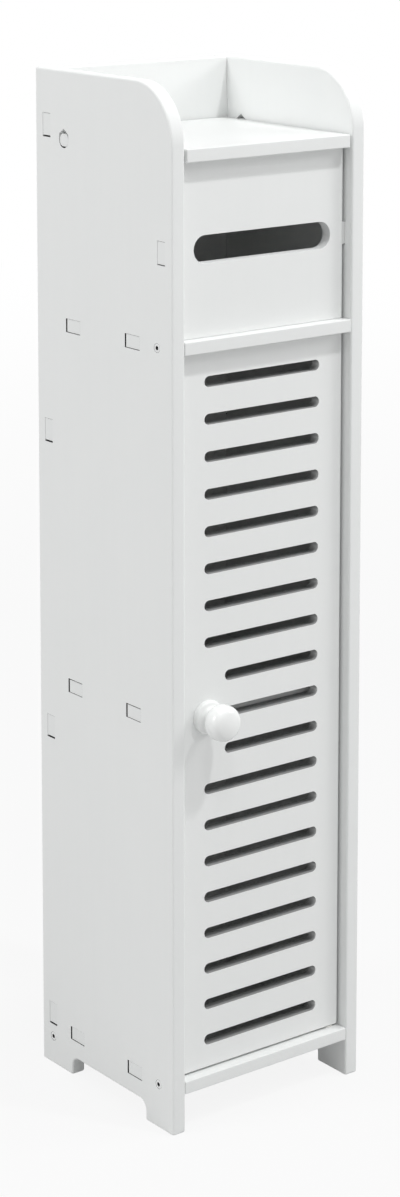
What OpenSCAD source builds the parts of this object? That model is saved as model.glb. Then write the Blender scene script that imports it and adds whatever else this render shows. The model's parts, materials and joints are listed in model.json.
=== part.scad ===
// Slim bathroom storage cabinet of white foamed board, built from flat pieces
// that lock together with tabs and slots. A lift-up lid turns on two ears and
// covers an upper compartment with a dispensing slot. A slotted door turns on two
// upright pins and closes two shelf spaces. Millimetres, Z up, front towards -Y.
// The origin is on the floor, in the middle of the space that the cabinet and its
// knob take up.

/* [Cabinet] */
// Height of the side panels
body_h = 800; // [700:1:1000]
// Width over both side panels
body_w = 183; // [170:1:260]
// Depth of the side panels
body_d = 174; // [165:1:260]
// Radius of the side panels' top front corners
corner_r = 45; // [20:1:47]

/* [Boards] */
// Thickness of the side panels
side_t = 12; // [10:0.5:18]
// Thickness of the lid, the shelves and the back panel
board_t = 10; // [8:0.5:14]
// Thickness of the door and the slot panel
front_t = 9; // [8:0.5:12]
// How far the door and the slot panel stand behind the side panels' front edges
front_inset = 8.5; // [4:0.5:14]
// How far the back panel stands in front of the side panels' rear edges
back_recess = 9.8; // [2:0.2:16]
// Gap at each end of the lid, the door and the slot panel
end_gap = 2; // [1.5:0.1:3]

/* [Heights] */
// Height of the side panels above the lid
gallery_h = 48; // [46:1:80]
// Clear height of the upper compartment
upper_h = 132; // [100:1:160]
// Height of the clear space under the bottom shelf
plinth_h = 30; // [22:1:60]

/* [Feet] */
// Height of the arch between a side panel's feet
arch_h = 15; // [8:1:18]
// Radius of the arch's upper corners
arch_r = 8; // [2:1:8]
// Length of a front foot
front_foot = 35; // [25:1:50]
// Length of a rear foot
rear_foot = 41; // [30:1:55]

/* [Tabs] */
// Length of a tab
tab_l = 17; // [12:1:20]
// Centre of the shelves' front tabs, behind the front edges
tab_front_y = 48.5; // [40:0.5:60]
// Distance from the back panel to the centre of the shelves' rear tabs
tab_rear_in = 29.2; // [24:0.2:45]
// Number of tabs on each side of the back panel
back_tabs = 4; // [3:1:6]
// Distance from an end of the back panel to the centre of its last tab
tab_end = 42.7; // [40:0.1:60]
// How far a tab's end stands below the side panel's outer face
tab_sink = 0.3; // [0.1:0.1:1]
// Play round a tab
tab_play = 0.15; // [0.05:0.05:0.3]
// Extra slot length at the lower or the rear end of a tab
tab_slack = 0.6; // [0:0.1:1]

/* [Lid] */
// Distance from the back panel to the lid's turning axis
lid_axis_in = 18; // [14:0.5:24]
// Radius of the lid's ears
ear_r = 5.5; // [5.5:0.1:7]
// Clearance of an ear in its hole
ear_gap = 0.35; // [0.2:0.05:0.6]
// How far an ear's flats stand inside the lid's faces
ear_relief = 0.2; // [0.1:0.1:0.5]
// Height of the hole's shoulders above the axis
roof_low = 4.5; // [3:0.5:5]
// Height of the hole's pointed roof above the axis
roof_high = 8.5; // [8.5:0.5:11]
// Clearance behind the lid's rear edge as it turns
lid_rear_gap = 0.6; // [0.4:0.1:2]
// Gap between the lid and the slot panel
lid_seat_gap = 0.2; // [0.1:0.1:0.5]

/* [Dispensing slot] */
// Length of the dispensing slot
mouth_l = 130; // [80:1:135]
// Height of the dispensing slot
mouth_h = 21; // [12:1:40]

/* [Door] */
// Gap above and below the door
door_gap = 1.5; // [1.2:0.1:2.5]
// Number of slots in the door
vent_n = 19; // [5:1:25]
// Height of a slot in the door
vent_h = 8.2; // [5:0.2:12]
// Number of short slots beside the knob
short_vents = 3; // [1:2:5]
// Width of the plain stile at each side of the slots
stile_w = 22.5; // [18:0.5:30]
// Height of the plain rail above and below the slots
rail_h = 17.9; // [14:0.1:30]
// Clearance between the inner shelf and the door's corner as it swings past
shelf_clear = 0.8; // [0.4:0.1:4]

/* [Knob] */
// Distance from the door's free edge to the knob's axis
knob_in = 25; // [18:1:28]
// Distance from the door to the knob's tip
knob_l = 29; // [24:1:36]
// Radius of the knob's round head
knob_r = 13.7; // [11:0.1:14]
// Distance from the rear of the knob's head to its tip
knob_head_l = 19; // [17:0.5:21]
// Radius of the head's round shoulders
knob_shoulder = 7; // [5:0.5:8]
// How far the crown of the head rises past its shoulder
knob_crown = 1; // [0.5:0.1:1.5]
// Radius of the knob's foot
knob_foot_r = 13; // [10:0.5:13]
// Thickness of the knob's foot
knob_foot_t = 4.5; // [3:0.5:6]
// Radius of the knob's neck
knob_neck_r = 7.5; // [6:0.5:9]
// How far the neck flares towards the foot and the head
knob_flare = 2.3; // [1.5:0.1:2.6]
// Distance from the knob's foot to the short slots
knob_clear = 4; // [2:0.5:6]
// Radius of the brass insert in the knob
insert_r = 3; // [2.8:0.1:4]
// Length of the brass insert
insert_l = 12; // [8:1:16]
// Radius of the knob's machine screw
knob_screw_r = 2; // [1.5:0.1:2.2]
// Length of the machine screw
knob_screw_l = 18; // [14:1:20]
// Radius of the machine screw's head
knob_screw_head_r = 4; // [3.5:0.1:4.5]

/* [Door pins] */
// Distance from the door's hinged edge to the turning axis
pin_in = 7; // [5.5:0.5:8]
// Radius of a pin
pin_r = 2; // [1.5:0.1:2.2]
// Length of a pin inside the door
pin_hold = 12; // [8:1:20]
// Wall of a bush
bush_wall = 0.95; // [0.8:0.05:1]
// Depth of a bush in its shelf
bush_l = 7; // [5:0.5:7]
// Radius of a bush's flange
bush_flange_r = 4.5; // [4:0.1:5]
// Distance between a bush's flange and the door
flange_gap = 0.3; // [0.2:0.1:0.4]

/* [Magnet catch] */
// Length of the catch's fixing flange
catch_l = 45; // [40:1:48]
// Thickness of the fixing flange
catch_flange_t = 3; // [2:0.5:4]
// Length of the catch's block
catch_block_l = 24; // [20:1:26]
// Depth of the block
catch_d = 14; // [12:1:18]
// Height of the block
catch_h = 12; // [10:0.5:14]
// Length of the pole plates and the magnet
pole_l = 18; // [14:1:19]
// Thickness of a pole plate
pole_t = 1.4; // [1:0.1:2]
// Depth of a pole plate
pole_d = 8; // [6:0.5:10]
// How far the pole plates stand in front of the block
pole_out = 0.8; // [0.4:0.1:1.2]
// Thickness of the magnet
magnet_t = 4; // [3:0.5:5]
// Length of the strike plate
strike_l = 32; // [28:1:38]
// Height of the strike plate
strike_h = 10; // [9:0.5:11]
// Thickness of the strike plate
strike_t = 1.2; // [1:0.1:1.6]
// Gap between the strike plate and the pole plates
strike_gap = 0.2; // [0.1:0.1:0.4]

/* [Screws] */
// Radius of a panel screw
screw_r = 1.75; // [1.5:0.05:2.2]
// Length of a panel screw
screw_l = 32; // [28:1:40]
// Radius of a panel screw's head
screw_head_r = 3.5; // [3.2:0.1:4]
// Width of the hexagonal socket across its corners
socket_w = 3.4; // [2.5:0.1:3.6]
// Depth of the hexagonal socket
socket_d = 2; // [1:0.1:2.4]
// Height of the low screw into the back panel
low_screw_z = 23; // [21:0.5:24]
// Radius of a small wood screw
wood_screw_r = 1.4; // [1.2:0.1:1.5]
// Radius of a small wood screw's head
wood_head_r = 2.6; // [2.4:0.1:3]

/* [Fits] */
// Clearance round pressed, screwed and turning pieces
fit = 0.05; // [0.03:0.01:0.08]

/* [Hidden] */
$fn = 64;
white = [0.94, 0.95, 0.95];
gloss_white = [0.98, 0.98, 0.98];
nylon = [0.9, 0.9, 0.88];
steel = [0.62, 0.63, 0.65];
brass = [0.75, 0.62, 0.32];
ferrite = [0.2, 0.2, 0.21];

past = 1;                                  // how far a cut runs past a face
inner_w = body_w - 2 * side_t;
board_span = body_w - 2 * tab_sink;        // from tab end to tab end
front_w = inner_w - 2 * end_gap;           // lid, door and slot panel

// depths behind the side panels' front edges
front_back_y = front_inset + front_t;
back_y = body_d - back_recess - board_t;
tab_rear_y = back_y - tab_rear_in;

// heights
lid_top = body_h - gallery_h;
lid_z = lid_top - board_t;
slot_panel_top = lid_z - lid_seat_gap;
middle_top = lid_z - upper_h;
middle_z = middle_top - board_t;
bottom_top = plinth_h + board_t;
door_z = bottom_top + door_gap;
door_top = middle_z - door_gap;
mid_z = (door_z + door_top) / 2;           // middle slot, knob and inner shelf
inner_z = mid_z - board_t / 2;
mouth_z = (middle_top + slot_panel_top) / 2;

// slots in the door
vent_l = front_w - 2 * stile_w;
vent_first = door_z + rail_h + vent_h / 2;
vent_pitch = (door_top - rail_h - vent_h / 2 - vent_first) / (vent_n - 1);
knob_x = knob_in - front_w / 2;
short_from = knob_x + knob_foot_r + knob_clear;

// turning axes
pin_x = front_w / 2 - pin_in;
pin_y = front_inset + front_t / 2;
bush_r = pin_r + fit + bush_wall;
door_corner_r = sqrt(pow(pin_in, 2) + pow(front_t / 2, 2));
inner_front_y = pin_y + door_corner_r + shelf_clear;
flange_t = door_gap - flange_gap;
pin_end_gap = 0.6;                         // between a pin's end and the bush's bottom
lid_axis_y = back_y - lid_axis_in;
lid_axis_z = lid_z + board_t / 2;
lid_rear_r = lid_axis_in - lid_rear_gap;
lid_rear_y = lid_axis_y + sqrt(pow(lid_rear_r, 2) - pow(board_t / 2, 2));
ear_hole_r = ear_r + ear_gap;

// knob
knob_out = knob_l - front_inset;           // in front of the side panels
knob_head_z = knob_l - knob_head_l;        // rear of the head, in front of the door
knob_rim_r = 2.2;                          // rounding of the foot's rim
knob_joint = 0.9;                          // how far the neck's curve runs into the head
front_y = -(body_d - knob_out) / 2;

// screws
screw_wall = 0.5;                          // board left between a bush and a screw
front_screw_y = pin_y + bush_r + screw_wall + screw_r;
low_screw_y = back_y + board_t / 2;
screw_tip = 3;                             // length of a panel screw's point
wood_tip = 1.5;                            // length of a wood screw's point
tip_share = 0.25;                          // blunt end of a point, of the screw's radius
machine_tip = 0.4;                         // chamfer at a machine screw's end
pan_share = 0.7;                           // flat top of a pan head, of its radius
recess_span = 1.1;                         // arms of a cross recess, of the head's radius
recess_blade = 0.22;                       // width of an arm, of the head's radius
recess_depth = 0.35;                       // depth of the recess, of the head's radius

// magnet catch
catch_y = front_back_y + strike_t + strike_gap + pole_out;
catch_x = knob_x;
catch_slot_l = 6;                          // adjusting slot for a catch screw
catch_screw_x = (catch_l + catch_block_l) / 4;
catch_screw_y = catch_y + catch_d / 2;
catch_screw_l = 7;                         // length from the shelf's face to the point
catch_screw_play = 0.1;
catch_screw_head_t = 1.6;
pocket_h = 2 * pole_t + magnet_t;
pole_z = middle_z - catch_flange_t - (catch_h - catch_flange_t) / 2;
strike_edge = 1.4;                         // plate left beside a screw's head
strike_screw_x = strike_l / 2 - wood_head_r - strike_edge;
strike_screw_l = 7;

// ---- shared shapes ----

// Everything is drawn with Y counted from the side panels' front edges.
module placed() {
    translate([0, front_y, 0]) children();
}

// A drawing in depth and height, extruded along +X.
module upright_side(t) {
    rotate([90, 0, 90]) linear_extrude(t) children();
}

// A drawing in width and height, extruded along +Y.
module upright_front(t) {
    translate([0, t, 0]) rotate([90, 0, 0]) linear_extrude(t) children();
}

// A straight slot with round ends, centred.
module round_slot(length, height) {
    square([length - height, height], center = true);
    for (end = [-1, 1])
        translate([end * (length - height) / 2, 0]) circle(height / 2);
}

// A tab or its slot in a side panel, as a rectangle from one end to the other.
module tab_slot(y, z, dy, dz, slack_y = 0, slack_z = 0) {
    translate([y - dy / 2 - tab_play, z - dz / 2 - tab_play - slack_z])
        square([dy + 2 * tab_play + slack_y, dz + 2 * tab_play + slack_z]);
}

// A countersunk screw along +Z, with the flat of its head at zero.
module countersunk(r, length, head_r, tip, tip_r) {
    cylinder(r1 = head_r, r2 = r, h = head_r - r);
    cylinder(r = r, h = length - tip);
    translate([0, 0, length - tip]) cylinder(r1 = r, r2 = tip_r, h = tip);
}

// The hole for such a screw.
module countersunk_hole(r, length, head_r) {
    translate([0, 0, -past]) cylinder(r = head_r + fit, h = past);
    cylinder(r1 = head_r + fit, r2 = r + fit, h = head_r - r);
    cylinder(r = r + fit, h = length + fit);
}

// Places of the panel screws in depth and height.
screw_places = [
    [front_screw_y, bottom_top - board_t / 2],
    [front_screw_y, middle_top - board_t / 2],
    [low_screw_y, low_screw_z]
];

// Puts a child at each panel screw of the right side, pointing inwards along +Z.
module at_panel_screws() {
    for (place = screw_places)
        translate([body_w / 2, place[0], place[1]]) rotate([0, -90, 0]) children();
}

module panel_screw_holes() {
    at_panel_screws() countersunk_hole(screw_r, screw_l, screw_head_r);
}

// ---- cabinet ----

// Outline of the space between a side panel's feet.
module arch() {
    width = body_d - front_foot - rear_foot;
    translate([front_foot, -past]) square([width, past + arch_h - arch_r]);
    translate([front_foot + arch_r, -past]) square([width - 2 * arch_r, past + arch_h]);
    for (y = [arch_r, width - arch_r])
        translate([front_foot + y, arch_h - arch_r]) circle(arch_r);
}

// Outline of a side panel without its cut-outs.
module side_outline() {
    square([body_d, body_h - corner_r]);
    translate([corner_r, 0]) square([body_d - corner_r, body_h]);
    translate([corner_r, body_h - corner_r]) circle(corner_r, $fn = 128);
}

// Round hole with a pointed roof, in which an ear of the lid turns.
module ear_hole() {
    translate([lid_axis_y, lid_axis_z]) {
        circle(ear_hole_r);
        polygon([
            [-ear_hole_r, 0], [ear_hole_r, 0], [ear_hole_r, roof_low],
            [0, roof_high], [-ear_hole_r, roof_low]
        ]);
    }
}

// Slots for the tabs of every board that a side panel carries.
module tab_slots() {
    for (z = [bottom_top, inner_z + board_t, middle_top], y = [tab_front_y, tab_rear_y])
        tab_slot(y, z - board_t / 2, tab_l, board_t, slack_y = tab_slack);
    for (i = [0:back_tabs - 1])
        tab_slot(back_y + board_t / 2, back_tab_z(i), board_t, tab_l, slack_z = tab_slack);
    tab_slot(front_inset + front_t / 2, mouth_z, front_t, tab_l);
}

function back_tab_z(i) = tab_end + i * (body_h - 2 * tab_end) / (back_tabs - 1);

module side_panel() {
    difference() {
        translate([inner_w / 2, 0, 0]) upright_side(side_t) difference() {
            side_outline();
            arch();
            tab_slots();
            ear_hole();
        }
        panel_screw_holes();
    }
}

module right_side_panel() {
    color(white) placed() side_panel();
}

module left_side_panel() {
    color(white) placed() mirror([1, 0, 0]) side_panel();
}

// Back panel with its tabs, from the floor to the top.
module back_panel() {
    color(white) placed() difference() {
        translate([0, back_y, 0]) upright_front(board_t) {
            translate([-inner_w / 2, 0]) square([inner_w, body_h]);
            for (i = [0:back_tabs - 1])
                translate([-board_span / 2, back_tab_z(i) - tab_l / 2])
                    square([board_span, tab_l]);
        }
        panel_screw_holes();
        mirror([1, 0, 0]) panel_screw_holes();
    }
}

// A shelf board whose front edge is at y, with two tabs at each end.
module shelf_board(top, y) {
    translate([0, 0, top - board_t]) linear_extrude(board_t) {
        translate([-inner_w / 2, y]) square([inner_w, back_y - y]);
        for (tab_y = [tab_front_y, tab_rear_y])
            translate([-board_span / 2, tab_y - tab_l / 2]) square([board_span, tab_l]);
    }
}

// Blind hole for a bush, from a shelf's face into the board.
module bush_hole(z, up) {
    translate([pin_x, pin_y, z]) mirror([0, 0, up ? 0 : 1]) translate([0, 0, -past])
        cylinder(r = bush_r + fit, h = past + bush_l + fit);
}

module bottom_shelf() {
    color(white) placed() difference() {
        shelf_board(bottom_top, 0);
        bush_hole(bottom_top, false);
        panel_screw_holes();
        mirror([1, 0, 0]) panel_screw_holes();
    }
}

module inner_shelf() {
    color(white) placed() shelf_board(inner_z + board_t, inner_front_y);
}

module middle_shelf() {
    color(white) placed() difference() {
        shelf_board(middle_top, 0);
        bush_hole(middle_z, true);
        panel_screw_holes();
        mirror([1, 0, 0]) panel_screw_holes();
        at_catch_screws() cylinder(r = wood_screw_r + fit, h = catch_screw_l + fit);
    }
}

// Front of the upper compartment, with the dispensing slot and a tab at each end.
module slot_panel() {
    color(white) placed() translate([0, front_inset, 0]) upright_front(front_t)
        difference() {
            union() {
                translate([-front_w / 2, middle_top])
                    square([front_w, slot_panel_top - middle_top]);
                translate([-board_span / 2, mouth_z - tab_l / 2]) square([board_span, tab_l]);
            }
            translate([0, mouth_z]) round_slot(mouth_l, mouth_h);
        }
}

// Panel screws with hexagonal sockets, three to a side.
module panel_screws() {
    at_panel_screws() difference() {
        countersunk(screw_r, screw_l, screw_head_r, screw_tip, tip_share * screw_r);
        translate([0, 0, -past]) cylinder(d = socket_w, h = past + socket_d, $fn = 6);
    }
}

module right_panel_screws() {
    color(gloss_white) placed() panel_screws();
}

module left_panel_screws() {
    color(gloss_white) placed() mirror([1, 0, 0]) panel_screws();
}

// Flanged bush in which a door pin turns: sleeve into the shelf, flange on its face.
module pin_bush(z, up) {
    color(nylon) placed() translate([pin_x, pin_y, z]) mirror([0, 0, up ? 0 : 1])
        difference() {
            union() {
                cylinder(r = bush_r, h = bush_l);
                translate([0, 0, -flange_t]) cylinder(r = bush_flange_r, h = flange_t);
            }
            translate([0, 0, -flange_t - past])
                cylinder(r = pin_r + fit, h = flange_t + bush_l + 2 * past);
        }
}

module upper_pin_bush() {
    pin_bush(middle_z, true);
}

module lower_pin_bush() {
    pin_bush(bottom_top, false);
}

// ---- magnet catch ----

// Puts a child at each catch screw, at the shelf's underside, pointing up.
module at_catch_screws() {
    for (side = [-1, 1])
        translate([catch_x + side * catch_screw_x, catch_screw_y, middle_z]) children();
}

// Space in the block for the magnet and its two pole plates.
module catch_pocket() {
    translate([catch_x - pole_l / 2 - fit, catch_y - past, pole_z - pocket_h / 2 - fit])
        cube([pole_l + 2 * fit, past + pole_d - pole_out + fit, pocket_h + 2 * fit]);
}

module catch_housing() {
    color(nylon) placed() difference() {
        union() {
            translate([catch_x, catch_screw_y, middle_z - catch_flange_t])
                linear_extrude(catch_flange_t) round_slot(catch_l, catch_d);
            translate([catch_x - catch_block_l / 2, catch_y, middle_z - catch_h])
                cube([catch_block_l, catch_d, catch_h]);
        }
        at_catch_screws() translate([0, 0, -catch_flange_t - past])
            linear_extrude(catch_flange_t + 2 * past) rotate(90)
                round_slot(catch_slot_l, 2 * (wood_screw_r + catch_screw_play));
        catch_pocket();
    }
}

// One pole plate, above or below the magnet.
module pole_plate(z) {
    translate([catch_x - pole_l / 2, catch_y - pole_out, z]) cube([pole_l, pole_d, pole_t]);
}

module catch_pole_plates() {
    color(steel) placed() {
        pole_plate(pole_z + magnet_t / 2);
        pole_plate(pole_z - magnet_t / 2 - pole_t);
    }
}

module catch_magnet() {
    color(ferrite) placed() translate([catch_x - pole_l / 2, catch_y, pole_z - magnet_t / 2])
        cube([pole_l, pole_d - pole_out, magnet_t]);
}

// Pan-headed wood screws that hold the catch under the middle shelf.
module catch_screws() {
    shank_l = catch_flange_t + catch_screw_l - wood_tip;
    color(steel) placed() at_catch_screws() translate([0, 0, -catch_flange_t]) {
        cylinder(r = wood_screw_r, h = shank_l);
        translate([0, 0, shank_l])
            cylinder(r1 = wood_screw_r, r2 = tip_share * wood_screw_r, h = wood_tip);
        translate([0, 0, -catch_screw_head_t])
            cylinder(r1 = pan_share * wood_head_r, r2 = wood_head_r, h = catch_screw_head_t);
    }
}

// ---- lid ----

// Lid with an ear at each end: a round cut from the board, with two flats.
module lid_board() {
    ear_t = board_t - 2 * ear_relief;
    color(white) placed() {
        translate([-front_w / 2, 0, lid_z]) cube([front_w, lid_rear_y, board_t]);
        translate([-board_span / 2, lid_axis_y, lid_axis_z]) intersection() {
            rotate([0, 90, 0]) cylinder(r = ear_r, h = board_span);
            translate([0, -ear_r, -ear_t / 2]) cube([board_span, 2 * ear_r, ear_t]);
        }
    }
}

// ---- door ----

// Slots in the door. The middle ones start beside the knob's foot.
module vents() {
    for (i = [0:vent_n - 1]) {
        steps_from_middle = abs(i - (vent_n - 1) / 2);
        from = steps_from_middle < short_vents / 2 ? short_from : -vent_l / 2;
        translate([(from + vent_l / 2) / 2, vent_first + i * vent_pitch])
            round_slot(vent_l / 2 - from, vent_h);
    }
}

module at_strike_screws() {
    for (side = [-1, 1])
        translate([catch_x + side * strike_screw_x, front_back_y + strike_t, pole_z])
            rotate([90, 0, 0]) children();
}

module at_knob_screw() {
    translate([knob_x, front_back_y, mid_z]) rotate([90, 0, 0]) children();
}

// Hole for a door pin, from an end of the door inwards.
module pin_hole(z, up) {
    translate([pin_x, pin_y, z]) mirror([0, 0, up ? 1 : 0]) translate([0, 0, -past])
        cylinder(r = pin_r + fit, h = past + pin_hold + fit);
}

module door_panel() {
    color(white) placed() difference() {
        translate([0, front_inset, 0]) upright_front(front_t) difference() {
            translate([-front_w / 2, door_z]) square([front_w, door_top - door_z]);
            vents();
        }
        pin_hole(door_top, true);
        pin_hole(door_z, false);
        at_knob_screw() countersunk_hole(knob_screw_r, knob_screw_l, knob_screw_head_r);
        at_strike_screws() cylinder(r = wood_screw_r + fit, h = strike_screw_l + fit);
    }
}

// Steel pin in an end of the door. Its free end turns in the bush.
module door_pin(z, up) {
    reach = door_gap + bush_l - pin_end_gap;
    color(steel) placed() translate([pin_x, pin_y, z]) mirror([0, 0, up ? 0 : 1])
        translate([0, 0, -pin_hold]) cylinder(r = pin_r, h = pin_hold + reach);
}

module upper_door_pin() {
    door_pin(door_top, true);
}

module lower_door_pin() {
    door_pin(door_z, false);
}

// Puts a child on the knob's axis, with the door's face at zero and +Z outwards.
module at_knob() {
    translate([knob_x, front_inset, mid_z]) rotate([90, 0, 0]) children();
}

// Outline of the knob's foot and waisted neck, from its axis outwards.
module knob_foot_outline() {
    waist_r = (knob_head_z + knob_joint - knob_foot_t) / 2;
    rim_in = knob_foot_r - knob_rim_r;
    square([rim_in, knob_foot_t]);
    square([knob_foot_r, knob_foot_t - knob_rim_r]);
    translate([rim_in, knob_foot_t - knob_rim_r]) circle(knob_rim_r);
    difference() {
        square([knob_neck_r + knob_flare, knob_head_z + waist_r]);
        translate([knob_neck_r + waist_r, knob_foot_t + waist_r]) circle(waist_r);
    }
}

// Outline of the head: a drum with round shoulders, and a crown that runs smoothly
// into the front one.
module knob_head_outline() {
    shoulder_in = knob_r - knob_shoulder;
    front_z = knob_l - knob_crown - knob_shoulder;
    rear_z = knob_head_z + knob_shoulder;
    tip_from_centre = knob_shoulder + knob_crown;
    crown_r = (pow(shoulder_in, 2) + pow(tip_from_centre, 2) - pow(knob_shoulder, 2))
        / (2 * knob_crown);
    crown_edge = shoulder_in * crown_r / (crown_r - knob_shoulder);
    intersection() {
        translate([0, knob_head_z]) square([knob_r, knob_head_l]);
        for (z = [rear_z, front_z]) translate([shoulder_in, z]) circle(knob_shoulder);
    }
    translate([0, rear_z]) square([knob_r, front_z - rear_z]);
    intersection() {
        translate([0, knob_head_z]) square([crown_edge, knob_head_l]);
        translate([0, knob_l - crown_r]) circle(crown_r, $fn = 128);
    }
    translate([0, knob_head_z]) square([shoulder_in, knob_shoulder]);
}

module knob() {
    color(gloss_white) placed() at_knob() difference() {
        rotate_extrude() {
            knob_foot_outline();
            knob_head_outline();
        }
        translate([0, 0, -past]) cylinder(r = insert_r + fit, h = past + insert_l + fit);
    }
}

module knob_insert() {
    color(brass) placed() at_knob() difference() {
        cylinder(r = insert_r, h = insert_l);
        translate([0, 0, -past]) cylinder(r = knob_screw_r + fit, h = insert_l + 2 * past);
    }
}

// Machine screw through the door into the knob's insert.
module knob_screw() {
    color(steel) placed() at_knob_screw() difference() {
        countersunk(knob_screw_r, knob_screw_l, knob_screw_head_r,
                    machine_tip, knob_screw_r - machine_tip);
        cross_recess(knob_screw_head_r);
    }
}

// Cross recess in a screw's head.
module cross_recess(head_r) {
    arm = recess_span * head_r;
    blade = recess_blade * head_r;
    depth = recess_depth * head_r;
    for (turn = [0, 90])
        rotate(turn) translate([-arm / 2, -blade / 2, -past]) cube([arm, blade, past + depth]);
}

// Steel plate behind the door that the magnet holds.
module strike_plate() {
    color(steel) placed() difference() {
        translate([catch_x - strike_l / 2, front_back_y, pole_z - strike_h / 2])
            cube([strike_l, strike_t, strike_h]);
        at_strike_screws() countersunk_hole(wood_screw_r, strike_screw_l, wood_head_r);
    }
}

module strike_screws() {
    color(steel) placed() at_strike_screws() difference() {
        countersunk(wood_screw_r, strike_screw_l, wood_head_r, wood_tip,
                    tip_share * wood_screw_r);
        cross_recess(wood_head_r);
    }
}

left_side_panel();
right_side_panel();
back_panel();
bottom_shelf();
inner_shelf();
middle_shelf();
slot_panel();
left_panel_screws();
right_panel_screws();
upper_pin_bush();
lower_pin_bush();
catch_housing();
catch_magnet();
catch_pole_plates();
catch_screws();
lid_board();
door_panel();
upper_door_pin();
lower_door_pin();
knob();
knob_insert();
knob_screw();
strike_plate();
strike_screws();
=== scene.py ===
"""Looks of a slim bathroom cabinet of white foamed board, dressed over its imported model."""

import json
import math

import bmesh
import bpy
from mathutils import Matrix, Vector


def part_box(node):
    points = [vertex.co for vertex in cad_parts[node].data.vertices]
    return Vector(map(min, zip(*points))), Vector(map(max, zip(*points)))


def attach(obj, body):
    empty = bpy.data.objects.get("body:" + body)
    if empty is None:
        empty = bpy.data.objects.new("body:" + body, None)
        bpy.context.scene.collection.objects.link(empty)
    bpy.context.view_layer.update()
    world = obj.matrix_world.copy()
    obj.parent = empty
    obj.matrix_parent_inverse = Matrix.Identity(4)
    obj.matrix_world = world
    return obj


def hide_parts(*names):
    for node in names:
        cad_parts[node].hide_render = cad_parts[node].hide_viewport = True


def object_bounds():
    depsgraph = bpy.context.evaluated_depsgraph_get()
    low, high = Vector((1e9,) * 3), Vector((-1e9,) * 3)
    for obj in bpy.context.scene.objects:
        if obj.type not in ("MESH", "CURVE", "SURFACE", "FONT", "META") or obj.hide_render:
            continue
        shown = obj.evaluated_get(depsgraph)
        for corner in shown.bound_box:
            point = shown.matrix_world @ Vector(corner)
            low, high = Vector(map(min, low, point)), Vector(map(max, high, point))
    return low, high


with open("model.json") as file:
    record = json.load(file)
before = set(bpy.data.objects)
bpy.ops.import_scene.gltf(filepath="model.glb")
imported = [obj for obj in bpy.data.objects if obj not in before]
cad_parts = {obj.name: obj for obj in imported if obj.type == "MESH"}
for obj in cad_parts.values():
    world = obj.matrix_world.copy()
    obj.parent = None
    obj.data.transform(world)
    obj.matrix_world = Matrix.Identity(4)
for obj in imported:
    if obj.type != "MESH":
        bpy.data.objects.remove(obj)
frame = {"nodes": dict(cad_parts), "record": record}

MM = 0.001
X, Y, Z = range(3)
CAD_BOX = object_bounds()
SLOTS = {part["node"]: part["material_slot"] for part in frame["record"]["subparts"]}
BODIES = {node: body for body, nodes in frame["record"]["behaviour"]["bodies"].items()
          for node in nodes}

# ---- sizes, in metres ----

WELD = 0.001 * MM             # vertices closer than this are one
FLAT = math.radians(0.5)      # faces that meet at less than this angle are one face
SHARP = math.radians(30)      # edges at more than this angle are rounded
ROUNDING_STEPS = 3

PANEL_EDGE = 1.6 * MM         # rounding of the side panels' outlines
BOARD_EDGE = 0.8 * MM         # rounding of the other boards' outlines
CUT_EDGE = 0.2 * MM           # rounding of slots and holes
TAB_EDGE = 0.12 * MM          # rounding of tabs and of the slots that they fill
FITTING_EDGE = 0.25 * MM      # rounding of the catch, the bushes and the pins
HOLE_SHARE = 0.8              # a loop shorter than this share of its board is a hole
SEAM_OPEN = 0.4 * MM          # how much wider a tab's slot looks on its loose side
SEAM_SLIT = 0.15 * MM         # the same, under the tabs of a shelf
TAB_START = 10 * WELD         # how far past a side panel's inner face a tab starts
LONG_HOLE = 1.5               # a hole this many times longer than it is wide holds a tab
HOLE_NEAR = 1 * MM            # how far a face may lie from the hole that it belongs to
FACE_WEIGHT = 100             # how firmly large flat faces set the shading round them

# Shares of a face's normal that tell which side of a board it is on.
SKIN_LEAN = 0.97              # sideways, from here on it is a side panel's skin
LEVEL_LEAN = 0.3              # up or down, from here on it gets painted shade in a hole or on a tab
RIM_LEAN, SILL_LEAN = 0.1, 0.7            # the rim and the foot of an ear's hole, which get painted shade
WALL_LEAN = 0.5               # forwards or back, below this it is the wall of a slot

DOOR_LOW, DOOR_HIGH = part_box("door_panel")
DOOR_MIDDLE = (DOOR_LOW + DOOR_HIGH) / 2
DOOR_SIZE = DOOR_HIGH - DOOR_LOW
VENT_COUNT, SHORT_COUNT = 19, 3
VENT_LENGTH, VENT_HEIGHT, SHORT_LENGTH = 110 * MM, 8.2 * MM, 90.5 * MM
VENT_RAIL = 17.9 * MM         # board above the highest slot and below the lowest
VENT_PITCH = (DOOR_SIZE.z - 2 * VENT_RAIL - VENT_HEIGHT) / (VENT_COUNT - 1)
VENT_STEPS = 48
VENT_ROOF, VENT_SILL = 0.95, 0.6         # painted shade on the slots' walls, above and below

PIN_X = 70.5 * MM
PIN_HOLE_R, PIN_HOLE_DEPTH = 2.05 * MM, 12.05 * MM
FIT = 0.05 * MM
PAST = 1 * MM                 # how far a drill starts outside the board

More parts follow.
